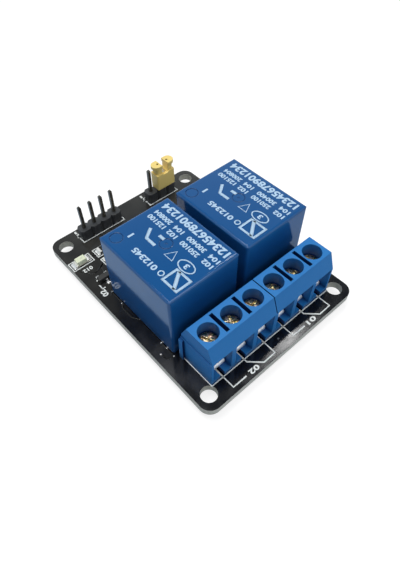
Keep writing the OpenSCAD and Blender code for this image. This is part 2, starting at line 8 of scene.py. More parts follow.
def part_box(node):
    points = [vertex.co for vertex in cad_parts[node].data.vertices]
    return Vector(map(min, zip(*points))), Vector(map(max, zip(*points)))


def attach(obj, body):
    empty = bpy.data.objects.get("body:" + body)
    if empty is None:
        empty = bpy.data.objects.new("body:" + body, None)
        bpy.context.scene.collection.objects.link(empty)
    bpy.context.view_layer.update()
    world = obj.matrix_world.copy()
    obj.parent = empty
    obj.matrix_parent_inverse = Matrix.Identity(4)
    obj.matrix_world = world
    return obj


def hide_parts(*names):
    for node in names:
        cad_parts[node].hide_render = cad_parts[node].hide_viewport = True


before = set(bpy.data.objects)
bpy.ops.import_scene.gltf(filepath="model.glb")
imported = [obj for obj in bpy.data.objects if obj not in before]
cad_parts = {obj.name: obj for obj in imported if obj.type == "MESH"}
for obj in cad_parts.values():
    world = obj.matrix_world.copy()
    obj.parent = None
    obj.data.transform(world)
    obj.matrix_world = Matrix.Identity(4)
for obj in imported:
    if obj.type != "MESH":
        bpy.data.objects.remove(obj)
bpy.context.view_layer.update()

# ---- Circuit board ---------------------------------------------------------------------------
# Glass-epoxy laminate, routed to shape and drilled. Gloss black solder mask covers both faces;
# the routed edge and the drilled walls show the bare, greyish laminate.

MM = 0.001


def linear(hex_colour):
    """An sRGB hex value as a linear colour with full alpha."""
    channels = [int(hex_colour[i : i + 2], 16) / 255 for i in (1, 3, 5)]
    return [c / 12.92 if c <= 0.04045 else ((c + 0.055) / 1.055) ** 2.4 for c in channels] + [1.0]


def add_node(tree, kind, inputs=None, **settings):
    """Adds a node with its settings; an input takes a value or a link from another socket."""
    node = tree.nodes.new(kind)
    for name, value in settings.items():
        setattr(node, name, value)
    for name, value in (inputs or {}).items():
        if isinstance(value, bpy.types.NodeSocket):
            tree.links.new(value, node.inputs[name])
        else:
            node.inputs[name].default_value = value
    return node


def start_material(name, **sockets):
    """A material whose surface is one Principled shader, with the given socket values."""
    material = bpy.data.materials.new(name)
    material.use_nodes = True
    tree = material.node_tree
    tree.nodes.clear()
    named = {key.replace("_", " "): value for key, value in sockets.items()}
    shader = add_node(tree, "ShaderNodeBsdfPrincipled", named)
    add_node(tree, "ShaderNodeOutputMaterial", {"Surface": shader.outputs["BSDF"]})
    return material, tree, shader


def noise(tree, size_mm, detail=2.0):
    """Noise whose features are about size_mm across, in object space."""
    place = add_node(tree, "ShaderNodeTexCoord").outputs["Object"]
    scale = 1 / (size_mm * MM)
    settings = {"Vector": place, "Scale": scale, "Detail": detail}
    return add_node(tree, "ShaderNodeTexNoise", settings).outputs["Fac"]


def spread(tree, value, low, high, start=0.3, end=0.7):
    """Maps a noise value to a range."""
    limits = {"From Min": start, "From Max": end, "To Min": low, "To Max": high}
    return add_node(tree, "ShaderNodeMapRange", {"Value": value, **limits}).outputs["Result"]


def blend_colours(tree, factor, first, second):
    """Mixes two colours, each a value or a socket."""
    colour_a, colour_b, colour_out = 6, 7, 2
    mix = add_node(
        tree,
        "ShaderNodeMix",
        {"Factor": factor, colour_a: first, colour_b: second},
        data_type="RGBA",
    )
    return mix.outputs[colour_out]


def soften_edges(tree, shader, radius_mm, height, depth_mm):
    """Rounds the shading of sharp edges, and adds a bump from a height value."""
    rounded = add_node(tree, "ShaderNodeBevel", {"Radius": radius_mm * MM}, samples=6)
    relief = {"Height": height, "Normal": rounded.outputs["Normal"], "Distance": depth_mm * MM}
    bumped = add_node(tree, "ShaderNodeBump", relief)
    tree.links.new(bumped.outputs["Normal"], shader.inputs["Normal"])


def dress(names, material):
    """Gives CAD nodes a material."""
    for name in names:
        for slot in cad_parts[name].material_slots:
            slot.material = material


def box_mm(node):
    """A CAD node's lowest and highest corners in millimetres."""
    low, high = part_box(node)
    return low / MM, high / MM


def upward(tree):
    """1 where a face lies flat, up or down, and 0 on upright walls."""
    lying_flat = 0.6
    normal = add_node(tree, "ShaderNodeTexCoord").outputs["Normal"]
    rise = add_node(tree, "ShaderNodeSeparateXYZ", {"Vector": normal}).outputs["Z"]
    flatness = add_node(tree, "ShaderNodeMath", {0: rise}, operation="ABSOLUTE").outputs[0]
    test = {0: flatness, 1: lying_flat}
    return add_node(tree, "ShaderNodeMath", test, operation="GREATER_THAN").outputs[0]


def haze_and_painted_reflection(tree):
    """How much grey lies on the mask: patches that grow toward the headers at the back, partly flux
    haze and partly painted reflection of the brighter room.
    """
    first_y, full_y = -4 * MM, 14 * MM
    patch_mm = 9.0
    place = add_node(tree, "ShaderNodeTexCoord").outputs["Object"]
    along = add_node(tree, "ShaderNodeSeparateXYZ", {"Vector": place}).outputs["Y"]
    near_headers = spread(tree, along, 0.0, 1.0, start=first_y, end=full_y)
    patches = spread(tree, noise(tree, patch_mm), 0.4, 1.0, start=0.35, end=0.6)
    both_of = {0: near_headers, 1: patches}
    return add_node(tree, "ShaderNodeMath", both_of, operation="MULTIPLY").outputs[0]


def solder_mask(name, first, second):
    """Light-imaged liquid mask, cured to a deep gloss that waves faintly over the copper.

    Grey patches that grow toward the headers are partly flux haze from hand soldering and partly
    painted reflection, and bare FR-4 shows on the upright walls.
    """
    weave_mm, cloud_mm, sheen_mm = 0.25, 6.0, 2.0
    wave_mm, wave_depth_mm = 2.5, 0.006
    edge_mm = 0.08
    material, tree, shader = start_material(name, IOR=1.5)
    on_face = upward(tree)
    weave = noise(tree, weave_mm, detail=4.0)
    mask = blend_colours(tree, noise(tree, cloud_mm), linear(first), linear(second))
    # Grey toward the back: part flux haze, part painted reflection of the brighter room low in the
    # view.
    mask = blend_colours(tree, haze_and_painted_reflection(tree), mask, linear("#393835"))
    laminate = blend_colours(tree, weave, linear("#b2b0a4"), linear("#d6d3c8"))
    tree.links.new(blend_colours(tree, on_face, laminate, mask), shader.inputs["Base Color"])
    matt, glossy, result = 2, 3, 0
    gloss = add_node(
        tree,
        "ShaderNodeMix",
        {
            "Factor": on_face,
            matt: spread(tree, weave, 0.55, 0.75),
            glossy: spread(tree, noise(tree, sheen_mm), 0.12, 0.2),
        },
        data_type="FLOAT",
    )
    tree.links.new(gloss.outputs[result], shader.inputs["Roughness"])
    soften_edges(tree, shader, edge_mm, noise(tree, wave_mm, detail=1.0), wave_depth_mm)
    return material


dress(["circuit_board"], solder_mask("Gloss black solder mask on FR-4", "#0c0e13", "#111319"))
board_low, board_high = box_mm("circuit_board")
board_top = board_high.z
board_bottom = board_low.z

# ---- Tracks, pads and vias -------------------------------------------------------------------
# Etched copper under the mask stands up as faint ridges on both faces. Where the mask is open
# the copper is tinned: rings round the vias, pads under the small parts and round each lead.


def named_input(group, name, kind):
    """Adds an input to a Geometry Nodes group."""
    group.interface.new_socket(name, in_out="INPUT", socket_type=kind)


def start_group(name):
    """A Geometry Nodes group with a geometry input and output."""
    group = bpy.data.node_groups.new(name, "GeometryNodeTree")
    named_input(group, "Geometry", "NodeSocketGeometry")
    group.interface.new_socket("Geometry", in_out="OUTPUT", socket_type="NodeSocketGeometry")
    return group, group.nodes.new("NodeGroupInput").outputs


def end_group(group, shape, material):
    """Makes instances real, gives them their material and ends the group."""
    real = add_node(group, "GeometryNodeRealizeInstances", {"Geometry": shape})
    dressed = add_node(
        group, "GeometryNodeSetMaterial", {"Geometry": real.outputs[0], "Material": material}
    )
    add_node(group, "NodeGroupOutput", {"Geometry": dressed.outputs[0]})
    return group


def ribbon_group():
    """Lays a flat ribbon of a given width and thickness along every line of a mesh."""
    group, given = start_group("Ribbon along lines")
    named_input(group, "Width", "NodeSocketFloat")
    named_input(group, "Thickness", "NodeSocketFloat")
    named_input(group, "Corner radius", "NodeSocketFloat")
    named_input(group, "Material", "NodeSocketMaterial")
    line = add_node(group, "GeometryNodeMeshToCurve", {"Mesh": given["Geometry"]})
    turned = add_node(
        group,
        "GeometryNodeFilletCurve",
        {
            "Curve": line.outputs[0],
            "Radius": given["Corner radius"],
            "Count": 4,
            "Limit Radius": True,
        },
        mode="POLY",
    )
    flat = add_node(
        group, "GeometryNodeSetCurveNormal", {"Curve": turned.outputs[0]}, mode="Z_UP"
    )
    section = add_node(
        group,
        "GeometryNodeCurvePrimitiveQuadrilateral",
        {"Width": given["Width"], "Height": given["Thickness"]},
    )
    swept = add_node(
        group,
        "GeometryNodeCurveToMesh",
        {"Curve": flat.outputs[0], "Profile Curve": section.outputs[0], "Fill Caps": True},
    )
    return end_group(group, swept.outputs[0], given["Material"])


def repeat_group():
    """Puts a shape on every point of a mesh, with the point's own turn and size."""
    group, given = start_group("Shape on points")
    named_input(group, "Shape", "NodeSocketObject")
    named_input(group, "Material", "NodeSocketMaterial")
    shape = add_node(group, "GeometryNodeObjectInfo", {"Object": given["Shape"]})
    turn = add_node(
        group, "GeometryNodeInputNamedAttribute", {"Name": "turn"}, data_type="FLOAT_VECTOR"
    )
    size = add_node(
        group, "GeometryNodeInputNamedAttribute", {"Name": "size"}, data_type="FLOAT_VECTOR"
    )
    copies = add_node(
        group,
        "GeometryNodeInstanceOnPoints",
        {
            "Points": given["Geometry"],
            "Instance": shape.outputs["Geometry"],
            "Rotation": turn.outputs["Attribute"],
            "Scale": size.outputs["Attribute"],
        },
    )
    return end_group(group, copies.outputs[0], given["Material"])


ribbon_tree = ribbon_group()
repeat_tree = repeat_group()


def new_piece(name, data):
    """An object in the scene that carries a mesh, a text, a lamp or a camera."""
    piece = bpy.data.objects.new(name, data)
    bpy.context.scene.collection.objects.link(piece)
    return piece


def finished(piece):
    """Turns a piece with live modifiers into a plain mesh."""
    result = bpy.data.meshes.new_from_object(
        piece.evaluated_get(bpy.context.evaluated_depsgraph_get())
    )
    piece.modifiers.clear()
    piece.data = result
    return piece


def run_group(piece, group, **values):
    """Runs a group over a piece. Inputs are set by their sockets' identifiers."""
    modifier = piece.modifiers.new("shape", "NODES")
    modifier.node_group = group
    for item in group.interface.items_tree:
        key = item.name.replace(" ", "_").lower()
        if item.in_out == "INPUT" and key in values:
            modifier[item.identifier] = values[key]
    return finished(piece)


def ribbons(name, runs, width, material, height, thickness, corner=0.0):
    """Ribbons in millimetres along runs of (x, y) points, lying on the given height."""
    points, edges = [], []
    for run in runs:
        start = len(points)
        points += [(x * MM, y * MM, height * MM) for x, y in run]
        edges += [(i, i + 1) for i in range(start, len(points) - 1)]
        if run[0] == run[-1]:
            points.pop()
            edges[-1] = (len(points) - 1, start)
    mesh = bpy.data.meshes.new(name)
    mesh.from_pydata(points, edges, [])
    return run_group(
        new_piece(name, mesh),
        ribbon_tree,
        width=width * MM,
        thickness=thickness * MM,
        corner_radius=corner * MM,
        material=material,
    )


def repeat(name, shape, places, material):
    """Copies of a shape at places of (x, y, z, turn in degrees, scale along x, y and z)."""
    mesh = bpy.data.meshes.new(name)
    mesh.from_pydata([[value * MM for value in place[:3]] for place in places], [], [])
    turns = mesh.attributes.new("turn", "FLOAT_VECTOR", "POINT")
    sizes = mesh.attributes.new("size", "FLOAT_VECTOR", "POINT")
    for i, place in enumerate(places):
        turns.data[i].vector = (0, 0, math.radians(place[3]))
        sizes.data[i].vector = place[4:7]
    piece = run_group(new_piece(name, mesh), repeat_tree, shape=shape, material=material)
    bpy.data.objects.remove(shape)
    return piece


def lathe(name, profile, steps=24):
    """A turned shape from (radius, height) points in millimetres, bottom to top."""
    form = bmesh.new()
    rings = []
    for radius, height in profile:
        if radius == 0:
            rings.append([form.verts.new((0, 0, height * MM))] * steps)
            continue
        angles = [2 * math.pi * i / steps for i in range(steps)]
        rings.append(
            [
                form.verts.new((radius * MM * math.cos(a), radius * MM * math.sin(a), height * MM))
                for a in angles
            ]
        )
    for below, above in zip(rings, rings[1:]):
        for i in range(steps):
            j = (i + 1) % steps
            corners = [below[i], below[j], above[j], above[i]]
            form.faces.new(list(dict.fromkeys(corners)))
    bmesh.ops.recalc_face_normals(form, faces=form.faces)
    mesh = bpy.data.meshes.new(name)
    form.to_mesh(mesh)
    form.free()
    return new_piece(name, mesh)


def washer(name, inner, outer, low, high, steps=24):
    """A flat ring between two heights, in millimetres."""
    section = [(inner, low), (outer, low), (outer, high), (inner, high), (inner, low)]
    return lathe(name, section, steps)


def plate(name, width, length, corner, height):
    """A flat plate with rounded corners, its underside at zero, in millimetres."""
    steps = 4
    outline = []
    for quarter, (sx, sy) in enumerate(((1, 1), (-1, 1), (-1, -1), (1, -1))):
        for i in range(steps + 1):
            angle = math.pi / 2 * (quarter + i / steps)
            x = sx * (width / 2 - corner) + corner * math.cos(angle)
            y = sy * (length / 2 - corner) + corner * math.sin(angle)
            outline.append((x * MM, y * MM))
    form = bmesh.new()
    low = [form.verts.new((x, y, 0)) for x, y in outline]
    high = [form.verts.new((x, y, height * MM)) for x, y in outline]
    form.faces.new(low[::-1])
    form.faces.new(high)
    for i in range(len(low)):
        j = (i + 1) % len(low)
        form.faces.new((low[i], low[j], high[j], high[i]))
    mesh = bpy.data.meshes.new(name)
    form.to_mesh(mesh)
    form.free()
    return new_piece(name, mesh)


def tin_plate(name, colour, gloss, tint="#ffffff"):
    """Plated or tinned metal: bright, with soft patches from the bath."""
    grain_mm, edge_mm, dip_mm, uneven = 0.4, 0.04, 0.003, 0.3
    material, tree, shader = start_material(name, Metallic=1.0)
    patch = noise(tree, grain_mm, detail=3.0)
    plating = blend_colours(tree, patch, linear(colour), linear(tint))
    tree.links.new(plating, shader.inputs["Base Color"])
    rough = spread(tree, patch, gloss * (1 - uneven), gloss * (1 + uneven))
    tree.links.new(rough, shader.inputs["Roughness"])
    soften_edges(tree, shader, edge_mm, patch, dip_mm)
    return material


def fit_on_board(piece):
    """A board detail rides with the part's one body."""
    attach(piece, "root")


SIDES = ("left", "right")
TRACK_RISE = 0.008
PAD_T = 0.035
# Hot-air levelled tin on bare copper: bright and a little uneven.
pad_tin = tin_plate("Tinned copper pad", "#c4c5c2", 0.25)
# The same mask looks slightly lighter where copper raises it.
track_mask = solder_mask("Gloss black mask over copper", "#101216", "#17191d")


def centre_of(node):
    """The middle of a CAD node's box, in millimetres."""
    low, high = box_mm(node)
    return (low + high) / 2


def pole_places(side):
    """Middles of a block's poles along its row, worked out from the screws' box."""
    low, high = box_mm(f"terminal_screws_{side}")
    head = high.y - low.y
    pitch = (high.x - low.x - head) / 2
    return [low.x + head / 2 + i * pitch for i in range(3)]


def lead_places(node, count):
    """Middles of an evenly spaced row of square pins."""
    low, high = box_mm(node)
    side = high.y - low.y
    step = (high.x - low.x - side) / (count - 1)
    return [low.x + side / 2 + i * step for i in range(count)]


def relay_points(side):
    """A relay's leads: the common one, the pair at the coil, then the pair of contacts."""
    lead_half, coil_step = 0.45, 2.0
    low, high = box_mm(f"relay_leads_{side}")
    left, right, middle = low.x + lead_half, high.x - lead_half, (low.x + high.x) / 2
    front, back = low.y + lead_half, high.y - lead_half
    pairs = [(x, y) for y in (front + coil_step, back) for x in (left, right)]
    return [(middle, front)] + pairs


def pad(x, y, width, length):
    """A pad on the top face: its place, no turn, and its size."""
    return (x, y, board_top, 0, width, length, 1)


header_y = centre_of("input_header_pins").y
power_y = centre_of("power_header_pins").y
input_pins = lead_places("input_header_pins", 4)
power_pins = lead_places("power_header_pins", 3)

# A pad under a part's end is wider than the end by its margins; its middle lies inside the end.
end_inset, side_margin = 0.1, 0.1
chip_pad_l, diode_pad_l = 1.3, 1.35
# The middle of a foot lies this far inside the box of all the feet.
foot_x, foot_y = 0.2, 0.1
opto_x, opto_y = 0.55, 0.4
foot_pad_w, foot_pad_l, opto_pad = 0.75, 0.95, 1.5
relay_pad_r, terminal_pad_r, header_pad_r = 1.15, 1.3, 1.0
# Signal tracks leave a part straight, and bend at 45 degrees or toward the next part.
led_drop, led_jog, input_bend, transistor_leg = 2.4, 1.9, 2.2, 1.5
stub, drive_bend, opto_half_pitch = 1.6, 0.6, 1.27
common_bend, contact_bend = 2, 4

top_runs, power_runs, pads, bottom_pads = [], [], [], []
for i, side in enumerate(SIDES):
    led, chip = box_mm(f"led_ends_{side}"), box_mm(f"led_resistor_ends_{side}")
    drive, diode = box_mm(f"drive_resistor_ends_{side}"), box_mm(f"diode_leads_{side}")
    small, opto = box_mm(f"transistor_leads_{side}"), box_mm(f"optocoupler_leads_{side}")
    # chip parts and the diode: one pad under each end
    ended = [(led, chip_pad_l), (chip, chip_pad_l), (drive, chip_pad_l), (diode, diode_pad_l)]
    for (low, high), pad_l in ended:
        pad_w = high.y - low.y + 2 * side_margin
        for x in (low.x + end_inset, high.x - end_inset):
            pads.append(pad(x, (low.y + high.y) / 2, pad_l, pad_w))
    # transistor and optocoupler: one pad under each foot
    single_x = centre_of(f"transistor_body_{side}").x
    left_x, right_x = small[0].x + foot_x, small[1].x - foot_x
    near_y, far_y = small[0].y + foot_y, small[1].y - foot_y
    for x, y in ((single_x, near_y), (left_x, far_y), (right_x, far_y)):
        pads.append(pad(x, y, foot_pad_w, foot_pad_l))
    for x in (opto[0].x + opto_x, opto[1].x - opto_x):
        for y in (opto[0].y + opto_y, opto[1].y - opto_y):
            pads.append(pad(x, y, opto_pad, opto_pad))
    # signal tracks on the top face
    row = (led[0].y + led[1].y) / 2
    low_row = (drive[0].y + drive[1].y) / 2
    led_x, input_x = led[0].x, input_pins[1 + i]
    opto_lead = centre_of(f"optocoupler_body_{side}").x - opto_half_pitch
    led_bend = row - led_drop
    top_runs += [
        [(led[1].x, row), (chip[0].x, row)],
        [
            (led_x, row), (led_x, led_bend), (led_x + led_jog, led_bend - led_jog),
            (drive[0].x, low_row),
        ],
        [(input_x, header_y), (input_x, row + input_bend), (chip[1].x, row)],
        [
            (drive[1].x, low_row), (drive[1].x + stub, low_row),
            (opto[0].x + opto_x, opto[1].y - opto_y),
        ],
        [
            (single_x, small[0].y), (single_x, small[0].y - transistor_leg),
            (single_x - transistor_leg, small[0].y - 2 * transistor_leg),
        ],
        [(right_x, small[1].y), (right_x, low_row - drive_bend), (drive[0].x, low_row)],
        [(opto_lead, opto[0].y), (opto_lead, opto[0].y - stub)],
    ]  # fmt: skip
    # wide tracks on the underside, from the relay's contacts to the terminals
    poles = pole_places(side)
    pole_y = centre_of(f"terminal_solder_{side}").y
    points = relay_points(side)
    power_runs += [
        [points[0], (points[0][0], pole_y + common_bend), (poles[1], pole_y)],
        [points[3], (points[3][0], pole_y + contact_bend), (poles[0], pole_y)],
        [points[4], (points[4][0], pole_y + contact_bend), (poles[2], pole_y)],
    ]
    bottom_pads += [(x, y, relay_pad_r) for x, y in points]
    bottom_pads += [(x, pole_y, terminal_pad_r) for x in poles]
bottom_pads += [(x, header_y, header_pad_r) for x in input_pins]
bottom_pads += [(x, power_y, header_pad_r) for x in power_pins]

# Most vias stand in the clear strips along the board's sides, and short tracks join some.
edge_x = board_low.x + 1.35
via_places = [
    (-16.3, 6.2), (-16.5, 2.6), (-16.0, -2.8), (-16.4, -9.4), (edge_x, -11.2), (-16.4, -13.0),
    (-16.3, -10.9), (0.0, -22.9), (16.6, 6.4), (16.5, -3.1), (17.6, -9.8),
]  # fmt: skip
top_runs += [
    [via_places[0], (via_places[0][0], via_places[1][1])],
    [via_places[1], (-17.0, 1.4), (-17.0, -1.5), via_places[2]],
    [via_places[3], via_places[6]],
    [via_places[4], (edge_x, -12.6), via_places[5]],
    [via_places[8], (16.6, 1.5), (17.0, -1.5), via_places[9]],
]
signal_width, power_width, track_corner = 0.35, 2.2, 0.6
for name, runs, width, height in (
    ("signal_tracks", top_runs, signal_width, board_top),
    ("power_tracks", power_runs, power_width, board_bottom),
):
    tracks = ribbons(name, runs, width, track_mask, height, 2 * TRACK_RISE, track_corner)
    fit_on_board(tracks)
pad_corner = 0.12
surface_pad = plate("surface_pad", 1, 1, pad_corner, PAD_T)
fit_on_board(repeat("surface_pads", surface_pad, pads, pad_tin))
ring_inner, ring_outer = 0.08, 0.16
via_ring = washer("via_ring", ring_inner, ring_outer, 0, PAD_T)
via_spots = [(x, y, board_top, 0, 1, 1, 1) for x, y in via_places]
fit_on_board(repeat("vias", via_ring, via_spots, pad_tin))
# The round pad has a radius of 1, which each lead's own radius scales.
hole_share = 0.55
round_pad = washer("round_pad", hole_share, 1, -PAD_T, 0, 32)
lead_pads = [(x, y, board_bottom, 0, r, r, 1) for x, y, r in bottom_pads]
fit_on_board(repeat("lead_pads", round_pad, lead_pads, pad_tin))

# ---- Board print -----------------------------------------------------------------------------
# Screen-printed epoxy ink: outlines of the parts, contact sketches in front of the terminals,
# and plain figures that number the channels. The ink is thin, matt and slightly uneven.

PRINT_T = 0.02


def printed_ink(name, first, second):
    """Screen ink: matt, a little thinner in places."""
    patch_mm = 0.35
    material, tree, shader = start_material(name, IOR=1.5)
    cover = noise(tree, patch_mm, detail=3.0)
    tint = blend_colours(tree, cover, linear(first), linear(second))
    tree.links.new(tint, shader.inputs["Base Color"])
    tree.links.new(spread(tree, cover, 0.45, 0.65), shader.inputs["Roughness"])
    return material


def lettering(name, rows, material, height):
    """Ink figures: rows of (text, middle x, middle y, length, letter height, turn in degrees).

    Each text is drawn bold in the font's own units, then fitted to its length and height.
    """
    drawn_t, boldness, curve_steps = 0.5, 0.035, 3
    form = bmesh.new()
    for text, x, y, length, tall, turn in rows:
        line = bpy.data.curves.new(name, "FONT")
        line.body = text
        line.extrude = drawn_t
        line.offset = boldness
        line.resolution_u = curve_steps
        writer = new_piece(name, line)
        bpy.context.view_layer.update()
        figures = bpy.data.meshes.new_from_object(writer)
        bpy.data.objects.remove(writer)
        corners = [Vector(vertex.co) for vertex in figures.vertices]
        low = Vector([min(corner[axis] for corner in corners) for axis in range(3)])
        high = Vector([max(corner[axis] for corner in corners) for axis in range(3)])
        fit = [
            goal * MM / (high[axis] - low[axis])
            for axis, goal in enumerate((length, tall, PRINT_T))
        ]
        figures.transform(
            Matrix.Translation(Vector((x, y, height)) * MM)
            @ Matrix.Rotation(math.radians(turn), 4, "Z")
            @ Matrix.Diagonal((*fit, 1))
            @ Matrix.Translation(-(low + high) / 2)
        )
        form.from_mesh(figures)
    mesh = bpy.data.meshes.new(name)
    form.to_mesh(mesh)
    form.free()
    mesh.materials.clear()
    mesh.materials.append(material)
    for face in mesh.polygons:
        face.material_index = 0
    return new_piece(name, mesh)


def frame_round(low, high, grow_x, grow_y):
    """The four corners of a printed box round a part, closed."""
    left, right = low.x - grow_x, high.x + grow_x
    front, back = low.y - grow_y, high.y + grow_y
    return [(left, front), (right, front), (right, back), (left, back), (left, front)]


def oval(x, y, half_x, half_y, steps):
    """A closed ring of points round a middle."""
    angles = [2 * math.pi * i / steps for i in range(steps)]
    ring = [(x + half_x * math.cos(a), y + half_y * math.sin(a)) for a in angles]
    return ring + ring[:1]


board_ink = printed_ink("White screen ink", "#eef3f0", "#f7faf8")
ink_height = board_top + TRACK_RISE + PRINT_T / 2
ink_width, dot_r, dot_steps = 0.3, 0.1, 12

# One line runs round both terminal blocks, just clear of them.
block_low, block_high = box_mm("terminal_housing_left")
pitch = pole_places("left")[1] - pole_places("left")[0]
row_low, row_high = Vector((-3 * pitch, block_low.y)), Vector((3 * pitch, block_high.y))
block_side_gap, block_front_gap = 0.06, 0.2
print_runs = [frame_round(row_low, row_high, block_side_gap, block_front_gap)]
print_dots, print_rows = [], []

# The contact sketches start under the block and end in the strip in front of it.
front_edge = block_low.y - block_front_gap
sketch_start = front_edge + 2.3
sketch_front = board_low.y + 1.05
hook_l, lever_start, lever_l, lever_dip, third_dip = 3.1, 0.65, 2.2, 0.2, 0.15
number_x, number_l, number_h = 5.0, 2.2, 1.0
# How far a small part's box stands off its ends and its sides.
led_gap, chip_gap, drive_gap = (0.8, 0.42), (0.75, 0.4), (0.75, 0.2)
for number, side in (("02", "left"), ("01", "right")):
    first, second, third = pole_places(side)
    print_runs += [
        [(first, sketch_start), (first, sketch_front), (first + hook_l, sketch_front)],
        [
            (second, sketch_start), (second, front_edge - lever_start),
            (second + lever_l, sketch_front - lever_dip), (third, sketch_front - third_dip),
            (third, sketch_start),
        ],
    ]  # fmt: skip
    print_rows.append((number, first + number_x, sketch_front, number_l, number_h, 180))
    led, chip = box_mm(f"led_ends_{side}"), box_mm(f"led_resistor_ends_{side}")
    drive = box_mm(f"drive_resistor_ends_{side}")
    small_low, small_high = box_mm(f"transistor_leads_{side}")
    print_runs += [
        frame_round(*led, *led_gap),
        frame_round(*chip, *chip_gap),
        frame_round(*drive, *drive_gap),
    ]
    # a corner and a short dash beside the transistor's feet
    corner_x, corner_y = small_low.x - 0.7, small_low.y - 0.64
    print_runs += [
        [(small_low.x, corner_y), (corner_x, corner_y), (corner_x, small_low.y + 0.6)],
        [(small_low.x - 0.5, small_high.y - 0.75), (small_low.x - 0.2, small_high.y - 0.45)],
    ]
    print_rows += [
        ("012", led[0].x + 1.6, led[0].y - 1.7, 2.1, 0.95, 180),
        ("02", small_low.x - 1.05, small_low.y - 1.75, 1.7, 1.2, 90),
    ]

# Each header has a line round its base, and a dot and a figure at its first pin.
header_gap = 0.18
for base in ("input_header_base", "power_header_base"):
    low, high = box_mm(base)
    print_runs.append(frame_round(low, high, header_gap, header_gap))
    print_dots.append(oval(low.x - 0.1, high.y - 0.5, dot_r, dot_r, dot_steps))
    print_rows.append(("1", low.x - 0.1, high.y + 0.95, 0.45, 0.8, 180))
for name, runs, width in (
    ("board_print", print_runs, ink_width),
    ("board_print_dots", print_dots, 2 * ink_width),
):
    fit_on_board(ribbons(name, runs, width, board_ink, ink_height, PRINT_T))
fit_on_board(lettering("board_print_figures", print_rows, board_ink, ink_height))

# ---- Relays ----------------------------------------------------------------------------------
# Sealed relays: a moulded blue case glued over a base plate that holds the tinned leads. The
# case is glossy enough to mirror the floor, and pale figures and symbols are printed on it.


def both(stem):
    """The names of a node on the left and on the right channel."""
    return [f"{stem}_{side}" for side in SIDES]


def moulded_plastic(
    name, colour, tint, gloss, grain_mm, edge_mm, painted_shade=None, reach_mm=1.0, **sockets
):
    """Injection-moulded plastic: a fine orange-peel skin, uneven colour, and painted shade in its
    hollows when a shade colour is given.
    """
    cloud_mm, peel_mm, uneven = 5.0, 0.002, 0.15
    shut_in, in_the_open = 0.3, 0.85
    material, tree, shader = start_material(name, **sockets)
    cloud = blend_colours(tree, noise(tree, cloud_mm), linear(colour), linear(tint))
    # Painted shade: near other surfaces, in corners, gaps and recesses, the colour darkens toward
    # the shade colour.
    if painted_shade is not None:
        reach = {"Distance": reach_mm * MM}
        clear = add_node(tree, "ShaderNodeAmbientOcclusion", reach, samples=8).outputs["AO"]
        shade = spread(tree, clear, 0.0, 1.0, start=shut_in, end=in_the_open)
        cloud = blend_colours(tree, shade, linear(painted_shade), cloud)
    tree.links.new(cloud, shader.inputs["Base Color"])
    grain = noise(tree, grain_mm, detail=3.0)
    rough = spread(tree, grain, gloss * (1 - uneven), gloss * (1 + uneven))
    tree.links.new(rough, shader.inputs["Roughness"])
    soften_edges(tree, shader, edge_mm, grain, peel_mm)
    return material


# PBT from a polished mould: a deep, even gloss. The base plate is darker and duller.
# The case has painted shade in its shallow hollows, such as the moulded rings on its top.
case_plastic = moulded_plastic(
    "Moulded PBT, relay blue", "#185491", "#1a5996", 0.1, 0.5, 0.12, "#113c74", 0.6, IOR=1.48
)
base_plastic = moulded_plastic(
    "Moulded PBT, dark base", "#123a68", "#143d6c", 0.4, 0.3, 0.1, IOR=1.5
)
# Hot-dipped tin on copper: silvery and softly clouded.
tinned = tin_plate("Tinned copper lead", "#c8c8c4", 0.28)
dress(both("relay_case"), case_plastic)
dress(both("relay_base"), base_plastic)
dress(both("relay_leads"), tinned)

# A thin pad-printed film, which takes a blue cast from the case under it.
relay_ink = printed_ink("Pale blue pad-printed ink", "#b0d0ec", "#c0dcf4")
relay_top = box_mm("relay_case_left")[1].z
relay_ink_height = relay_top + PRINT_T / 2

# Figures read along the relay, with their tops toward its left side. Places are measured from
# its front left corner: (text, x, y, length, letter height).
rating_h = 1.05
rating_columns = ((2.0, 2.3), (6.4, 4.4), (11.0, 2.3), (15.2, 4.4))
rating_lines = (
    (11.3, ("104", "300400", "104", "200804")),
    (9.75, ("102", "250100", "102", "125100")),
)
relay_rows = [("12345678901234", 13.45, 9.3, 16.6, 1.75)]
for x, texts in rating_lines:
    for text, (y, length) in zip(texts, rating_columns):
        relay_rows.append((text, x, y, length, rating_h))
relay_rows += [
    ("012345", 2.9, 9.7, 6.0, 1.2),
    ("1", 4.4, 15.5, 0.4, 1.3),
    ("3", 6.9, 3.8, 0.8, 1.1),
]
# Two rings and a triangle in thin lines; a generic coil and changeover contact in thick ones.
thin_line, thick_line = 0.24, 0.62
thin_runs = [
    oval(6.9, 3.8, 1.05, 1.75, 28),
    oval(3.0, 5.5, 0.5, 0.5, 16),
    [(5.9, 6.3), (5.9, 8.3), (7.9, 7.3), (5.9, 6.3)],
]
thick_runs = [
    [(2.4, 1.0), (2.4, 4.4), (5.4, 4.4), (5.4, 1.0), (2.4, 1.0)],
    [(2.4, 1.6), (5.4, 3.8)],
    [(6.0, 10.9), (6.0, 13.2), (8.0, 14.6)],
    [(8.0, 10.9), (8.0, 12.2)],
]
for side in SIDES:
    corner = box_mm(f"relay_case_{side}")[0]
    rows = [(text, corner.x + x, corner.y + y, *size, 90) for text, x, y, *size in relay_rows]
    figures = lettering(f"relay_figures_{side}", rows, relay_ink, relay_ink_height)
    fit_on_board(figures)
    for name, drawn, width in (
        ("outlines", thin_runs, thin_line),
        ("symbols", thick_runs, thick_line),
    ):
        runs = [[(corner.x + x, corner.y + y) for x, y in run] for run in drawn]
        lines = ribbons(f"relay_{name}_{side}", runs, width, relay_ink, relay_ink_height, PRINT_T)
        fit_on_board(lines)
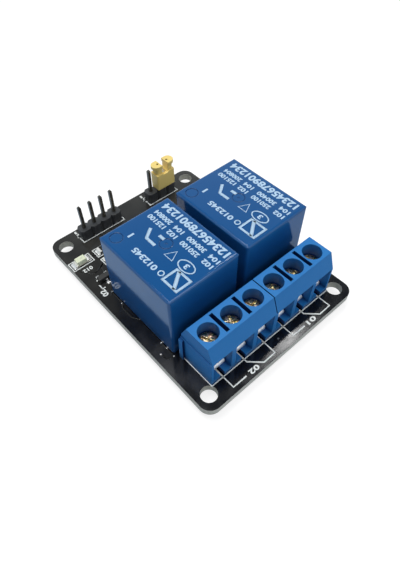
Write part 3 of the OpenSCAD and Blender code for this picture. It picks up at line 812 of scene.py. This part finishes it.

# ---- Terminal blocks -------------------------------------------------------------------------
# Moulded polyamide housings in a brighter blue. Each pole has a bright clamp cage that a
# yellow-passivated screw draws up against the tinned contact strip.

# Moulded polyamide has a satin skin. Shade is painted into its wire entries, screw wells and the
# joint between the blocks.
terminal_plastic = moulded_plastic(
    "Moulded polyamide, terminal blue",
    "#2178c0",
    "#247dc5",
    gloss=0.45,
    grain_mm=0.3,
    edge_mm=0.06,
    painted_shade="#0a2f68",
    reach_mm=2.6,
    IOR=1.36,
)
dress(both("terminal_housing"), terminal_plastic)
# Barrel-plated nickel: nearly white, with broad soft highlights.
nickel = tin_plate("Bright nickel plate", "#fbfbfa", 0.65)
dress(both("terminal_cages"), nickel)
dress(both("terminal_strips"), tinned)


def yellow_zinc():
    """Zinc plate with a yellow chromate film, which turns pink and green in thin patches."""
    patch_mm, grain_mm, edge_mm, dip_mm = 0.6, 0.2, 0.05, 0.002
    material, tree, shader = start_material("Yellow-passivated zinc plate", Metallic=1.0)
    patch = noise(tree, patch_mm, detail=1.0)
    film = add_node(tree, "ShaderNodeValToRGB", {"Fac": patch})
    ramp = film.color_ramp
    ramp.elements[0].position, ramp.elements[0].color = 0.36, linear("#b6b694")
    ramp.elements[1].position, ramp.elements[1].color = 0.66, linear("#ebcac6")
    middle = ramp.elements.new(0.5)
    middle.color = linear("#ddd2ac")
    tree.links.new(film.outputs["Color"], shader.inputs["Base Color"])
    tree.links.new(spread(tree, patch, 0.2, 0.36), shader.inputs["Roughness"])
    soften_edges(tree, shader, edge_mm, noise(tree, grain_mm), dip_mm)
    return material


def smooth(piece, degrees=40):
    """Smooth shading with crisp edges where faces meet sharply."""
    piece.data.polygons.foreach_set("use_smooth", [True] * len(piece.data.polygons))
    piece.data.set_sharp_from_angle(angle=math.radians(degrees))
    return piece


def cut(piece, cutter):
    """Cuts one closed shape out of another and removes the cutter."""
    modifier = piece.modifiers.new("cut", "BOOLEAN")
    modifier.operation, modifier.object = "DIFFERENCE", cutter
    finished(piece)
    bpy.data.objects.remove(cutter)


def threaded_rod(radius, depth, lead, low, high):
    """A vee-threaded rod: its radius rises and falls once per turn of the helix."""
    steps, rows_per_turn, end_relief = 24, 8, 0.25
    form = bmesh.new()
    rows = round((high - low) / lead * rows_per_turn)
    rings = []
    for row in range(rows + 1):
        z = low + (high - low) * row / rows
        ring = []
        for i in range(steps):
            turn = i / steps
            wave = abs(2 * ((z / lead - turn) % 1) - 1)
            r = radius - depth * wave - (end_relief * depth if row in (0, rows) else 0)
            x, y = r * math.cos(2 * math.pi * turn), r * math.sin(2 * math.pi * turn)
            ring.append(form.verts.new((x * MM, y * MM, z * MM)))
        rings.append(ring)
    for below, above in zip(rings, rings[1:]):
        for i in range(steps):
            j = (i + 1) % steps
            form.faces.new((below[i], below[j], above[j], above[i]))
    form.faces.new(rings[0][::-1])
    form.faces.new(rings[-1])
    return form


def clamp_screw(low, high):
    """A domed cheese head with a cross recess, on a threaded shank. It stands on zero."""
    head_h, dome, rim, rim_bevel = 1.2, 0.24, 0.1, 0.05
    shank_r, thread_t, thread_lead, sunk_in_head = 1.2, 0.2, 0.45, 0.05
    recess_share, recess_w, recess_t, recess_corner = 1.5, 0.5, 0.75, 0.08
    head_r = (high.y - low.y) / 2
    top = high.z - low.z
    seat = top - head_h
    # the dome passes through two points between the rim and the top
    screw = lathe(
        "clamp_screw",
        [
            (0, seat), (head_r - rim, seat), (head_r, seat + rim), (head_r, top - dome - rim),
            (head_r - rim, top - dome), (head_r * 0.72, top - dome * 0.35),
            (head_r * 0.4, top - dome * 0.08), (0, top),
        ],
        40,
    )  # fmt: skip
    above_head = 1
    for turn in (0, math.pi / 2):
        blade = plate(
            "blade", head_r * recess_share, recess_w, recess_corner, recess_t + above_head
        )
        blade.data.transform(
            Matrix.Translation((0, 0, (top - recess_t) * MM)) @ Matrix.Rotation(turn, 4, "Z")
        )
        cut(screw, blade)
    bevel = screw.modifiers.new("rim", "BEVEL")
    bevel.width, bevel.segments, bevel.limit_method = rim_bevel * MM, 2, "ANGLE"
    bevel.angle_limit = math.radians(35)
    finished(screw)
    form = threaded_rod(shank_r, thread_t, thread_lead, 0, seat + sunk_in_head)
    form.from_mesh(screw.data)
    form.to_mesh(screw.data)
    form.free()
    return smooth(screw)


chromate = yellow_zinc()
# How far each screw happens to be turned, in degrees.
screw_turns = {"left": (24, 58, 10), "right": (40, 5, 66)}
for side in SIDES:
    low, high = box_mm(f"terminal_screws_{side}")
    shape = clamp_screw(low, high)
    middle_y = (low.y + high.y) / 2
    turned = zip(pole_places(side), screw_turns[side])
    places = [(x, middle_y, low.z, turn, 1, 1, 1) for x, turn in turned]
    screws = smooth(repeat(f"clamp_screws_{side}", shape, places, chromate))
    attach(screws, "root")
    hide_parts(f"terminal_screws_{side}")

# ---- Headers and jumper ----------------------------------------------------------------------
# Square plated pins pressed through black moulded bases, and a push-fit jumper with a yellow
# moulded shell over a sprung contact.

# Black nylon: satin, and lifted to dark grey by its fine grain.
header_plastic = moulded_plastic(
    "Moulded nylon, black", "#36383a", "#3d3f41", 0.45, 0.25, 0.1, IOR=1.53
)
dress(["input_header_base", "power_header_base"], header_plastic)
# Thin plating on brass, dulled to a warm grey by handling.
pin_metal = tin_plate("Plated header pin", "#5f5b53", 0.4, "#7d786e")
dress(["input_header_pins", "power_header_pins"], pin_metal)
# Moulded polyester: a clear, warm yellow with a satin skin.
jumper_plastic = moulded_plastic(
    "Moulded polyester, yellow", "#ffe083", "#ffe58d", 0.4, 0.25, 0.15, IOR=1.53
)
dress(["jumper_shell"], jumper_plastic)
dress(["jumper_contact"], tinned)

# ---- Drive parts -----------------------------------------------------------------------------
# Chip resistors, indicators, transistors, diodes and optocouplers. Each end and foot sits on
# its pad in a concave fillet of bright solder.

# Printed overglaze on the chip resistors: smooth, black and fairly glossy.
chip_film = moulded_plastic("Resistor overglaze", "#1d1f22", "#26282c", 0.2, 0.2, 0.05, IOR=1.5)
# Transfer-moulded epoxy: satin, with a fine sandy skin.
epoxy_black = moulded_plastic("Moulded black epoxy", "#2b2b2a", "#343331", 0.45, 0.15, 0.06, IOR=1.5)
epoxy_white = moulded_plastic("Moulded white epoxy", "#dcdcd4", "#e4e4dd", 0.45, 0.15, 0.06, IOR=1.5)
# The indicator: a pale laminate base under a cast lens that looks faintly green.
laminate_white = moulded_plastic("White laminate", "#e6e0c8", "#efe9d4", 0.5, 0.2, 0.05, IOR=1.5)
lens_resin = moulded_plastic(
    "Clear cast resin", "#f2fad6", "#fafee4", 0.15, 0.4, 0.05, IOR=1.5, Transmission_Weight=0.03
)
# Reflowed solder: bright, with a broad highlight on each curved fillet.
solder = tin_plate("Bright solder", "#e0ddd5", 0.42)
for stem in ("led_resistor", "drive_resistor"):
    dress(both(stem), chip_film)
    dress(both(f"{stem}_ends"), solder)
dress(both("led_base"), laminate_white)
dress(both("led_lens"), lens_resin)
dress(both("led_ends"), solder)
for stem in ("transistor", "diode"):
    dress(both(f"{stem}_body"), epoxy_black)
    dress(both(f"{stem}_leads"), tinned)
dress(both("optocoupler_body"), epoxy_white)
dress(both("optocoupler_leads"), tinned)


def fillet_at(form, x, y, turn, width, reach, height):
    """Adds a concave fillet that leaves a wall at (x, y) toward its turned +X side."""
    rows, columns = 5, 6
    into_wall, flare, side_droop = 0.08, 0.12, 0.35
    spin = Matrix.Rotation(math.radians(turn), 4, "Z")
    place = Matrix.Translation(Vector((x, y, board_top)) * MM) @ spin
    layers = []
    for top in (True, False):
        grid = []
        for i in range(rows + 1):
            out = i / rows
            line = []
            for j in range(columns + 1):
                across = 2 * j / columns - 1
                rise = height * (1 - out) ** 2 * (1 - side_droop * across**4) + PAD_T
                aside = across * width / 2 * (1 + flare * out)
                spot = Vector((out * reach - into_wall, aside, rise if top else 0))
                line.append(form.verts.new(place @ (spot * MM)))
            grid.append(line)
        layers.append(grid)
    upper, lower = layers
    for i in range(rows):
        for j in range(columns):
            form.faces.new((upper[i][j], upper[i + 1][j], upper[i + 1][j + 1], upper[i][j + 1]))
            form.faces.new((lower[i][j], lower[i][j + 1], lower[i + 1][j + 1], lower[i + 1][j]))
    rim = [(i, 0) for i in range(rows)] + [(rows, j) for j in range(columns)]
    rim += [(i, columns) for i in range(rows, 0, -1)] + [(0, j) for j in range(columns, 0, -1)]
    for (i, j), (k, m) in zip(rim, rim[1:] + rim[:1]):
        form.faces.new((lower[i][j], lower[k][m], upper[k][m], upper[i][j]))


def die_and_wire(form, low, high):
    """A light-emitting chip on its base and the fine wire to the far pad."""
    base_t, off_middle, die_w, die_t = 0.45, 0.2, 0.32, 0.12
    steps, reach, bow, wire_half = 8, 0.85, 0.3, 0.03
    middle = (low + high) / 2
    seat = low.z + base_t
    die_x = middle.x - off_middle
    spot = Matrix.Translation(Vector((die_x, middle.y, seat + die_t / 2)) * MM)
    size = Matrix.Diagonal((die_w * MM, die_w * MM, die_t * MM, 1))
    bmesh.ops.create_cube(form, size=1.0, matrix=spot @ size)
    before = None
    for i in range(steps + 1):
        along = i / steps
        x = die_x + reach * along
        z = seat + die_t * (1 - along) + bow * 4 * along * (1 - along)
        ring = [
            form.verts.new(Vector((x, middle.y + a * wire_half, z + b * wire_half)) * MM)
            for a, b in ((-1, -1), (1, -1), (1, 1), (-1, 1))
        ]
        for j in range(4) if before else ():
            form.faces.new((before[j], before[j - 1], ring[j - 1], ring[j]))
        if before is None or i == steps:
            form.faces.new(ring if i == steps else ring[::-1])
        before = ring


def piece_from(form, name, material):
    """Turns a drawn form into a smooth piece that rides with the board."""
    bmesh.ops.recalc_face_normals(form, faces=form.faces)
    mesh = bpy.data.meshes.new(name)
    form.to_mesh(mesh)
    form.free()
    mesh.materials.append(material)
    fit_on_board(smooth(new_piece(name, mesh), 50))


# Fillets under a part's two ends, by the node that holds the ends: (width, reach, height).
end_fillets = {
    "led_ends": (1.6, 0.5, 0.42),
    "led_resistor_ends": (1.6, 0.5, 0.4),
    "drive_resistor_ends": (1.6, 0.5, 0.4),
    "diode_leads": (1.5, 0.45, 0.6),
}
foot_fillet, opto_fillet = (0.6, 0.35, 0.14), (1.2, 0.4, 0.25)
foot_half = 0.21
for side in SIDES:
    joints, dies = bmesh.new(), bmesh.new()
    for stem, sizes in end_fillets.items():
        low, high = box_mm(f"{stem}_{side}")
        for x, turn in ((low.x, 180), (high.x, 0)):
            fillet_at(joints, x, (low.y + high.y) / 2, turn, *sizes)
    low, high = box_mm(f"transistor_leads_{side}")
    single_x = centre_of(f"transistor_body_{side}").x
    fillet_at(joints, single_x, low.y, 270, *foot_fillet)
    for x in (low.x + foot_half, high.x - foot_half):
        fillet_at(joints, x, high.y, 90, *foot_fillet)
    low, high = box_mm(f"optocoupler_leads_{side}")
    for x in (low.x + opto_x, high.x - opto_x):
        fillet_at(joints, x, low.y, 270, *opto_fillet)
        fillet_at(joints, x, high.y, 90, *opto_fillet)
    piece_from(joints, f"solder_fillets_{side}", solder)
    die_and_wire(dies, *box_mm(f"led_lens_{side}"))
    piece_from(dies, f"indicator_chip_{side}", tinned)

# ---- Solder joints ---------------------------------------------------------------------------
# Bright cones of solder round every lead that comes through the board. They are soldered by
# hand from below, with the same alloy as the fillets on top.

dress(both("relay_solder") + both("terminal_solder") + ["header_solder"], solder)

# ---- Studio ----------------------------------------------------------------------------------
# A pale board under a large soft lamp, with a weaker lamp in front and a small strip lamp that
# draws a band of gloss. The room is pale at eye height and darkens overhead, so that flat
# glossy tops mirror something dim.

WHITE = "#ffffff"
ROOM_COLOUR = "#dfe9f0"
FLOOR_COLOUR = "#a6cff8"


def largest(tree, values):
    """The largest of several values."""
    result = values[0]
    for value in values[1:]:
        result = add_node(
            tree, "ShaderNodeMath", {0: result, 1: value}, operation="MAXIMUM"
        ).outputs[0]
    return result


def pale_floor():
    """Matt white board. Seen directly it is lifted to paper white, and in a reflection to a pale
    blue.
    """
    mirrored_glow, seen_glow = 0.58, 0.8
    material = bpy.data.materials.new("Matt white backdrop board")
    material.use_nodes = True
    tree = material.node_tree
    tree.nodes.clear()
    path = add_node(tree, "ShaderNodeLightPath").outputs
    direct = path["Is Camera Ray"]
    seen = largest(tree, [direct, path["Is Glossy Ray"], path["Is Transmission Ray"]])
    bounce = add_node(tree, "ShaderNodeBsdfDiffuse", {"Color": linear("#d0d6de")})
    shadow = add_node(tree, "ShaderNodeBsdfDiffuse", {"Color": linear("#989898")})
    lift = spread(tree, direct, mirrored_glow, seen_glow, start=0.0, end=1.0)
    tint = blend_colours(tree, direct, linear(FLOOR_COLOUR), linear(WHITE))
    glow = add_node(tree, "ShaderNodeEmission", {"Color": tint, "Strength": lift})
    lifted = add_node(tree, "ShaderNodeAddShader", {0: shadow.outputs[0], 1: glow.outputs[0]})
    mix = add_node(
        tree, "ShaderNodeMixShader", {0: seen, 1: bounce.outputs[0], 2: lifted.outputs[0]}
    )
    add_node(tree, "ShaderNodeOutputMaterial", {"Surface": mix.outputs[0]})
    return material


reach = 1.5
floor_mesh = bpy.data.meshes.new("floor")
floor_corners = [(-reach, -reach, 0), (reach, -reach, 0), (reach, reach, 0), (-reach, reach, 0)]
floor_mesh.from_pydata(floor_corners, [], [(0, 1, 2, 3)])
floor_mesh.materials.append(pale_floor())
floor = new_piece("floor", floor_mesh)


def room_light():
    """Paper white where it is seen directly, and a room that darkens overhead otherwise."""
    wall_end, ceiling_start = 0.56, 0.77
    wall_glow, ceiling_glow, fill_glow = 1.0, 0.14, 0.18
    world = bpy.data.worlds.new("Studio room")
    world.use_nodes = True
    tree = world.node_tree
    tree.nodes.clear()
    path = add_node(tree, "ShaderNodeLightPath").outputs
    direct = path["Is Camera Ray"]
    heading = add_node(tree, "ShaderNodeTexCoord").outputs["Generated"]
    height = add_node(tree, "ShaderNodeSeparateXYZ", {"Vector": heading}).outputs["Z"]
    wall = spread(tree, height, wall_glow, ceiling_glow, start=wall_end, end=ceiling_start)
    mirrored = largest(tree, [path["Is Glossy Ray"], path["Is Transmission Ray"]])
    unseen, reflected = 2, 3
    choice = {"Factor": mirrored, unseen: fill_glow, reflected: wall}
    fill = add_node(tree, "ShaderNodeMix", choice, data_type="FLOAT")
    strength = largest(tree, [fill.outputs[0], direct])
    tint = blend_colours(tree, direct, linear(ROOM_COLOUR), linear(WHITE))
    glow = add_node(tree, "ShaderNodeBackground", {"Color": tint, "Strength": strength})
    add_node(tree, "ShaderNodeOutputWorld", {"Surface": glow.outputs[0]})
    return world


bpy.context.scene.world = room_light()


def soft_lamp(name, place_mm, width_mm, height_mm, watts):
    """A rectangular lamp that is aimed at the part."""
    light = bpy.data.lights.new(name, "AREA")
    light.shape = "RECTANGLE"
    light.size, light.size_y = width_mm * MM, height_mm * MM
    light.energy = watts
    lamp = new_piece(name, light)
    lamp.location = Vector(place_mm) * MM
    aim = -lamp.location
    lamp.rotation_euler = aim.to_track_quat("-Z", "Y").to_euler()


soft_lamp("overhead_lamp", (-60, 90, 460), 240, 240, 1.22)
soft_lamp("fill_lamp", (60, -290, 390), 300, 300, 0.7)
soft_lamp("strip_lamp", (182, 104, 336), 60, 22, 0.16)

# The camera stands off the corner between the terminal side and the left side, and looks down.
camera_place = (Vector((-39.23, -46.44, 72.39)) + Vector((0, 0, board_top))) * MM
camera_heading = math.radians(41.12)
camera_dip = math.radians(52.25)
camera_roll = math.radians(-0.74)
camera_data = bpy.data.cameras.new("camera")
camera_data.sensor_width = 36
camera_data.lens = 29.144
camera_data.clip_start = 0.001
camera = new_piece("camera", camera_data)
camera.matrix_world = (
    Matrix.Translation(camera_place)
    @ Matrix.Rotation(-camera_heading, 4, "Z")
    @ Matrix.Rotation(math.pi / 2 - camera_dip, 4, "X")
    @ Matrix.Rotation(camera_roll, 4, "Z")
)
bpy.context.scene.camera = camera
bpy.context.scene.view_settings.view_transform = "Standard"
